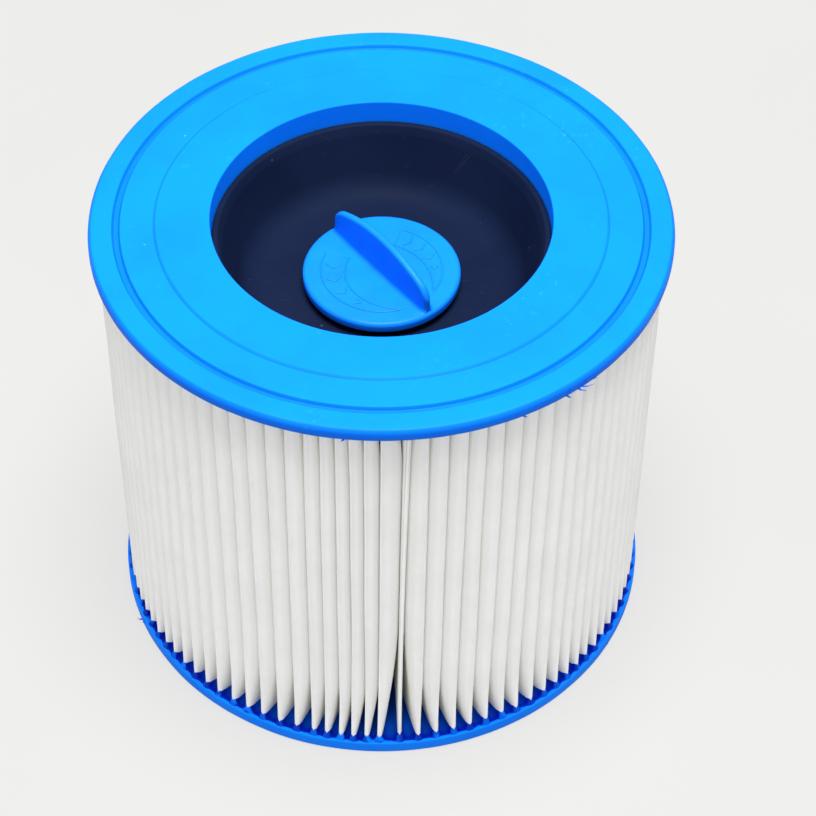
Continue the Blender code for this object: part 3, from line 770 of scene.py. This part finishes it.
def core_tube():
    """Perforated tube: windows between upright ribs and round hoops with bevelled edges."""
    columns, rows, hoop, rib_share = 16, 6, 6.0, 0.3
    inner, chamfer, chamfer_high = 60.0, 0.15, 0.5
    window = (CORE_HIGH - CORE_LOW - hoop * (rows + 1)) / rows
    heights = []  # (height, whether windows start there)
    z = CORE_LOW
    for row in range(rows + 1):
        heights += [(z, False), (z + chamfer_high, False), (z + hoop - chamfer_high, False)]
        heights.append((z + hoop, row < rows))
        z += hoop + window
    angles = []  # (angle, whether a window is there)
    for k in range(columns):
        for start, end, steps, is_window in ((0.0, rib_share, 3, False), (rib_share, 1.0, 7, True)):
            for i in range(steps):
                column = k + start + (end - start) * i / steps
                angles.append((column * 2 * pi / columns, is_window))
    around, levels = len(angles), len(heights)
    verts = []
    for radius, slope in ((inner, chamfer), (CORE_RADIUS, -chamfer)):
        for angle, _ in angles:
            for j, (z, _) in enumerate(heights):
                r = radius + (slope if j % 4 in (0, 3) else 0.0)
                verts.append((r * cos(angle), r * sin(angle), z))

    def index(side, i, j):
        return (side * around + i % around) * levels + j

    def hole(i, j):
        return 0 <= j < levels - 1 and heights[j][1] and angles[i % around][1]

    faces = []
    for i in range(around):
        for j in range(levels - 1):
            if hole(i, j):
                continue
            for side in (0, 1):
                faces.append([index(side, *p) for p in ((i, j), (i + 1, j), (i + 1, j + 1), (i, j + 1))])
            edges = (
                (j == 0 or hole(i, j - 1), (i, j), (i + 1, j)),
                (j == levels - 2 or hole(i, j + 1), (i + 1, j + 1), (i, j + 1)),
                (hole(i - 1, j), (i, j + 1), (i, j)),
                (hole(i + 1, j), (i + 1, j), (i + 1, j + 1)),
            )
            for is_open, a, b in edges:
                if is_open:
                    faces.append([index(0, *a), index(0, *b), index(1, *b), index(1, *a)])
    return make_object("core_grid", verts, faces, CORE, "cartridge", sharp=30)


# ---------------------------------------------------------------- lid


def lid_dish():
    """Dished lid with a rounded lip, a flat floor and a hub, and the two stops for the knob."""
    under, lip_under = DISH_FLOOR - 2.2, SEAL_HIGH + 0.3
    hub_bore, hub_radius, boss_radius, boss_top = 6.3, 9.0, 10.5, DISH_FLOOR + 1.4
    floor_edge, wall_top, lip_in = 48.3, 55.5, 57.2
    outside_floor_edge, outside_wall_top = 49.2, 56.6
    profile = filleted([
        (hub_bore, HUB_BOTTOM, 0.4), (hub_radius, HUB_BOTTOM, 0.5), (hub_radius, under, 1.4),
        (outside_floor_edge, under, 6.5), (outside_wall_top, lip_under, 0.4),
        (LID_RADIUS, lip_under, 0.4), (LID_RADIUS, LIP_TOP, 0.5),
        (lip_in, LIP_TOP - 0.1, 1.2), (wall_top, LIP_TOP - 3.4, 4.0), (floor_edge, DISH_FLOOR, 11.0),
        (boss_radius, DISH_FLOOR, 0.5), (boss_radius, boss_top, 0.4), (hub_bore, boss_top, 0.3),
    ])
    dish = lathe("dish_body", profile, 192, NAVY, "lid")
    stop_in, stop_out, stop_span = 20, 24, 10
    for number, start in enumerate((KNOB_TURN - 107.0, KNOB_TURN + 7.0)):
        end = start + stop_span
        outline = arc((0, 0), stop_out, start, end, 6) + arc((0, 0), stop_in, end, start, 6)
        slab(f"dish_stop_{number}", outline, DISH_FLOOR - 0.5, DISH_FLOOR + 1.2, 0.25, NAVY, "lid")
    return dish


# ---------------------------------------------------------------- knob


def knob_disc():
    """The knob's round plate and its stem, and the peg under it that meets the dish's stops."""
    start, end, peg_in, peg_out = KNOB_TURN - 3.0, KNOB_TURN + 3.0, 20.4, 23.6
    outline = arc((0, 0), peg_out, start, end, 4) + arc((0, 0), peg_in, end, start, 4)
    slab("knob_stop", outline, DISH_FLOOR + 0.5, KNOB_UNDER + 0.5, 0.2, KNOB, "knob")
    ring_low, ring_high, ring_floor = HUB_BOTTOM + 5.6, HUB_BOTTOM + 7.6, 4.4
    pilot, pilot_top = 2.3, STEM_END + 11
    profile = filleted([
        (AXIS, KNOB_TOP, 0), (KNOB_RADIUS, KNOB_TOP, 1.5), (KNOB_RADIUS, KNOB_UNDER, 0.9),
        (STEM_RADIUS, KNOB_UNDER, 0.4), (STEM_RADIUS, ring_high, 0.2), (ring_floor, ring_high, 0.2),
        (ring_floor, ring_low, 0.2), (STEM_RADIUS, ring_low, 0.2), (STEM_RADIUS, STEM_END, 0.5),
        (pilot, STEM_END, 0.3), (pilot, pilot_top, 0.2), (AXIS, pilot_top, 0),
    ])
    return lathe("knob_plate", profile, 160, KNOB, "knob")


def fin_height(x):
    """Height of the fin's crest along its length: one arc, with rounded ends."""
    half, end_height, corner = FIN_HALF, 8.4, 4.2
    sagitta = FIN_HEIGHT - end_height
    radius = (half**2 + sagitta**2) / (2 * sagitta)
    height = FIN_HEIGHT - radius + sqrt(radius**2 - x**2)
    into = corner - (half - abs(x))
    if into > 0:
        height -= corner - sqrt(max(corner**2 - into**2, 0.0))
    return height


def knob_fin():
    """The grip: a thin drafted wall on a filleted root, with a rounded crest and rounded ends."""
    half, crest, draft, root, end_round = FIN_HALF, 1.3, 0.05, 1.6, 1.9
    quarter = np.linspace(0, pi / 2, 6)
    stations = [half * sin(pi / 2 * i / 24) for i in range(-24, 25)]
    verts, faces, count = [], [], 0
    for x in stations:
        top = max(fin_height(x), 0.8)
        into_end = max(abs(x) - (half - end_round), 0)
        taper = sqrt(max(1 - (into_end / end_round) ** 2, 0.0))
        base = (crest + draft * top) * taper
        round_top = min(crest * taper, top * 0.4)
        wall = top - round_top
        edge = base - draft * taper * wall
        run = [(base + root * (1 - sin(a)), root * (1 - cos(a))) for a in quarter]
        run += [(base - draft * taper * wall * t, root + (wall - root) * t) for t in (0.35, 0.7)]
        run += [(edge * cos(a), wall + round_top * sin(a)) for a in quarter[:-1]]
        line = run + [(0.0, top)] + [(-y, z) for y, z in run[::-1]]
        line = [(line[0][0], -1.0)] + line + [(line[-1][0], -1.0)]
        count = len(line)
        for y, z in line:
            px, py = turned(x, y, KNOB_TURN)
            verts.append((px, py, KNOB_TOP + z))
    for i in range(len(stations) - 1):
        a, b = i * count, (i + 1) * count
        faces += [(a + j, b + j, b + (j + 1) % count, a + (j + 1) % count) for j in range(count)]
    faces += [tuple(range(count)), tuple(range(count * (len(stations) - 1), count * len(stations)))]
    return make_object("knob_fin", verts, faces, KNOB, "knob", sharp=50)


def raised_line(name, points, closed=False):
    """A thin rounded ridge on the knob's face, along (x, y) points."""
    data = bpy.data.curves.new(name, "CURVE")
    data.dimensions = "3D"
    data.bevel_depth = 0.42 * MM
    data.bevel_resolution = 3
    data.use_fill_caps = True
    line = data.splines.new("POLY")
    line.points.add(len(points) - 1)
    line.use_cyclic_u = closed
    for point, (x, y) in zip(line.points, points):
        px, py = turned(x, y, KNOB_TURN)
        point.co = (px * MM, py * MM, (KNOB_TOP - 0.08) * MM, 1.0)
    data.materials.append(KNOB)
    return place_piece(bpy.data.objects.new(name, data), "knob")


def turn_arrows():
    """Two curved arrows beside the fin, each a raised outline that narrows to a point, with plain
    chevrons inside, in place of the words that such a knob carries."""
    outer, inner, margin = 21.5, 12.8, 1.5
    for name, start, tip in (("open", 123.0, 19.0), ("close", 209.0, 343.0)):
        back = arc((0, 0), outer, start, tip, 30)
        shares = [i / 24 for i in range(23, -1, -1)]
        front = [polar(inner + (outer - inner) * t**2.2, start + (tip - start) * t) for t in shares]
        raised_line(f"arrow_{name}", back + front, closed=True)
        for i in range(4):
            t = 0.12 + 0.17 * i
            low, high = inner + (outer - inner) * t**2.2 + margin, outer - margin
            middle = start + (tip - start) * t
            ahead = middle + (tip - start) * 0.05
            chevron = [polar(high, middle), polar((low + high) / 2, ahead), polar(low, middle)]
            raised_line(f"chevron_{name}_{i}", chevron)


def bar_and_screw():
    """Locking bar with its shoulder, and the screw with a socket in its head."""
    half, width, corner, lug_top = 23.0, 6.5, 4.0, BAR_TOP - 4.7
    outline = []
    for cx, cy, start in ((1, 1, 0), (-1, 1, 90), (-1, -1, 180), (1, -1, 270)):
        outline += arc((cx * (half - corner), cy * (width - corner)), corner, start, start + 90, 8)
    outline = [turned(x, y, KNOB_TURN) for x, y in outline]
    bar = slab("bar_body", outline, BAR_BOTTOM, lug_top, 0.7, NAVY, "knob")
    collar_in, collar_out, collar_low = 4.6, 8.6, BAR_BOTTOM + 0.8
    collar = filleted([
        (collar_in, collar_low, 0), (collar_out, collar_low, 0), (collar_out, BAR_TOP, 0.4),
        (collar_in, BAR_TOP, 0.3),
    ])
    lathe("bar_collar", collar, 96, NAVY, "knob")
    socket, socket_floor = 1.6, SCREW_LOW + 1.6
    head_radius, head_round, head_top, shank = 4.2, 1.3, SCREW_LOW + 2.8, 2.0
    profile = (
        [(AXIS, socket_floor), (socket, socket_floor), (socket, SCREW_LOW + 0.2), (1.8, SCREW_LOW)]
        + arc((head_radius - head_round, SCREW_LOW + head_round), head_round, -90, 0, 6)
        + [(head_radius, head_top), (shank, head_top), (shank, SCREW_HIGH), (AXIS, SCREW_HIGH)]
    )
    screw = lathe("screw_body", profile, 48, STEEL, "knob")
    return bar, screw


# ---------------------------------------------------------------- stage


def stage():
    """Pale floor that glows a little, grey room light, a soft lamp overhead and a faint one in
    front. Distances are in metres."""
    n = Nodes(
        "floor_pale", Roughness=0.9, Specular_IOR_Level=0.0,
        Emission_Strength=0.66, Emission_Color=(1.0, 1.0, 0.985),
    )
    mottle = n.ramp(n.noise(3, 3), 0.3, 0.7)
    tone = n.blend(mottle, (0.082, 0.082, 0.08), (0.092, 0.092, 0.09))
    far = 8.0
    corners = [(-far, -far, 0), (far, -far, 0), (far, far, 0), (-far, far, 0)]
    mesh = bpy.data.meshes.new("floor")
    mesh.from_pydata(corners, [], [(0, 1, 2, 3)])
    mesh.materials.append(n.finish(tone))
    floor = bpy.data.objects.new("floor", mesh)
    bpy.context.scene.collection.objects.link(floor)

    world = bpy.data.worlds.new("pale_room")
    world.use_nodes = True
    world.node_tree.nodes["Background"].inputs["Color"].default_value = (0.62, 0.62, 0.62, 1)
    bpy.context.scene.world = world
    bpy.context.scene.view_settings.view_transform = "Standard"

    for name, place, aim, size, watts in (
        ("overhead", (0.06, -0.15, 1.9), (0, 0, 0), 0.9, 66.0),
        ("front_fill", (-0.6, -1.8, 0.5), (0, 0, 0.1), 1.4, 3.0),
    ):
        data = bpy.data.lights.new(name, "AREA")
        data.shape = "DISK"
        data.size = size
        data.energy = watts
        light = bpy.data.objects.new(name, data)
        light.location = place
        light.rotation_euler = (Vector(place) - Vector(aim)).to_track_quat("Z", "Y").to_euler()
        bpy.context.scene.collection.objects.link(light)


def camera():
    """At the front, looking down at about 47 degrees, with no shift. Distances are in metres and
    turns in radians."""
    distance, height = 0.6482, 0.7763
    yaw, pitch, roll = 0.0151, 0.8215, 0.0101
    data = bpy.data.cameras.new("camera")
    data.sensor_width = 36.0
    data.lens = 112.2
    view = bpy.data.objects.new("camera", data)
    aim = Matrix.Rotation(-yaw, 4, "Z") @ Matrix.Rotation(pi / 2 - pitch, 4, "X")
    turn = aim @ Matrix.Rotation(roll, 4, "Z")
    view.matrix_world = Matrix.Translation((0, -distance, height)) @ turn
    bpy.context.scene.collection.objects.link(view)
    bpy.context.scene.camera = view


# ---------------------------------------------------------------- build

camera()
stage()

top_body = top_cap()
top_potting = potting("top_potting", HEIGHT, -1, FLANGE_ROOT, steps=10, creep=1.0)
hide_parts("top_end_cap")
bottom_body = bottom_cap()
bottom_potting = potting("bottom_potting", 0.0, 1, BOTTOM_RADIUS - 0.12, steps=14, creep=2.9)
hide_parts("bottom_end_cap")
flash_burrs()
pleats, unfolded = pleated_sheet()
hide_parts("pleated_media")
strip = seam_strip()
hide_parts("media_seam_strip")
core = core_tube()
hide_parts("inner_core")
dish = lid_dish()
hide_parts("lid_dish")
plate = knob_disc()
knob_fin()
turn_arrows()
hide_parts("turn_knob")
bar, screw = bar_and_screw()
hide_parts("locking_bar")
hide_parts("bar_screw")

cad_finishes = {"lid_seal": RUBBER, "stem_o_ring": RUBBER, "wave_washer": STEEL, "bar_washer": STEEL}
for node, finish in cad_finishes.items():
    for material_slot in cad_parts[node].material_slots:
        material_slot.material = finish
